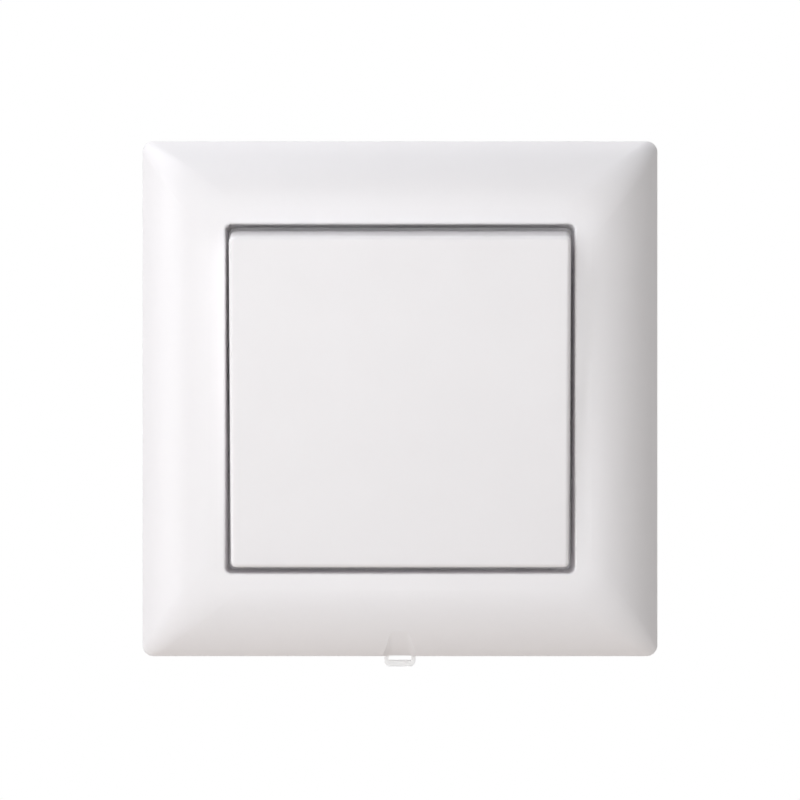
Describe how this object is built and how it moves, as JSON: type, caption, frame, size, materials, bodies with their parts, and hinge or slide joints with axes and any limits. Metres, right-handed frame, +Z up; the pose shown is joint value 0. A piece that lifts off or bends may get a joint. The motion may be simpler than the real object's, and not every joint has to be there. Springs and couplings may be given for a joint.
{
  "type": "light switch",
  "caption": "Flush rocker light switch with a square crowned cover frame, sprung changeover contacts, push-in wire terminals and a steel support plate for a wall box.",
  "frame": {"origin": "centre of the switch on the wall's surface, midway between the box screws", "axes": "+X right seen from the room, +Y into the wall, +Z up; the face looks along -Y"},
  "size_m": [0.081, 0.038, 0.0829],
  "materials": {
    "cover_plastic": "white moulded thermoplastic, satin gloss",
    "tab_plastic": "natural translucent moulding",
    "insert_plastic": "light grey moulding, fine grain",
    "plunger_plastic": "natural moulding",
    "lever_plastic": "dark grey moulding",
    "plated_steel": "zinc-plated stamped sheet",
    "spring_steel": "bright spring steel",
    "contact_brass": "rolled strip",
    "contact_silver": "silver contact pads"
  },
  "bodies": {
    "insert": {"cover_frame": "cover_plastic", "release_tab": "tab_plastic", "support_plate": "plated_steel", "base_housing": "insert_plastic", "housing_cover": "insert_plastic", "cover_screws": "plated_steel", "common_busbar": "contact_brass", "upper_busbar": "contact_brass", "lower_busbar": "contact_brass", "fixed_contact_tips": "contact_silver", "common_clamp_spring": "spring_steel", "upper_clamp_spring": "spring_steel", "lower_clamp_spring": "spring_steel"},
    "rocker": {"rocker": "cover_plastic", "toggle_cradle": "insert_plastic", "plunger_spring": "spring_steel"},
    "plunger": {"plunger": "plunger_plastic"},
    "contact_bridge": {"contact_rocker": "contact_brass", "moving_contact_tips": "contact_silver"},
    "upper_release": {"upper_release_lever": "lever_plastic"},
    "lower_release": {"lower_release_lever": "lever_plastic"},
    "common_release": {"common_release_lever": "lever_plastic"}
  },
  "joints": [
    {"name": "rocker_tilt", "type": "hinge", "parent": "insert", "child": "rocker", "pos_m": [0, -0.003, 0], "axis": [1, 0, 0], "range_deg": [-8, 0]},
    {"name": "plunger_slide", "type": "slide", "parent": "rocker", "child": "plunger", "axis": [0, -0.9976, -0.0698], "range_m": [0, 0.001], "stiffness_N_per_m": 300, "deforming": ["plunger_spring"]},
    {"name": "contact_flip", "type": "hinge", "parent": "insert", "child": "contact_bridge", "pos_m": [0, 0.01, 0], "axis": [1, 0, 0], "range_deg": [0, 19.2]},
    {"name": "upper_release", "type": "slide", "parent": "insert", "child": "upper_release", "axis": [0, -1, 0], "range_m": [0, 0.0015], "stiffness_N_per_m": 400, "deforming": ["upper_clamp_spring"]},
    {"name": "lower_release", "type": "slide", "parent": "insert", "child": "lower_release", "axis": [0, -1, 0], "range_m": [0, 0.0015], "stiffness_N_per_m": 400, "deforming": ["lower_clamp_spring"]},
    {"name": "common_release", "type": "slide", "parent": "insert", "child": "common_release", "axis": [0, -1, 0], "range_m": [0, 0.0015], "stiffness_N_per_m": 400, "deforming": ["common_clamp_spring"]}
  ],
  "couplings": [
    {"joint": "contact_flip", "follows": "rocker_tilt", "ratio": -2.4}
  ]
}
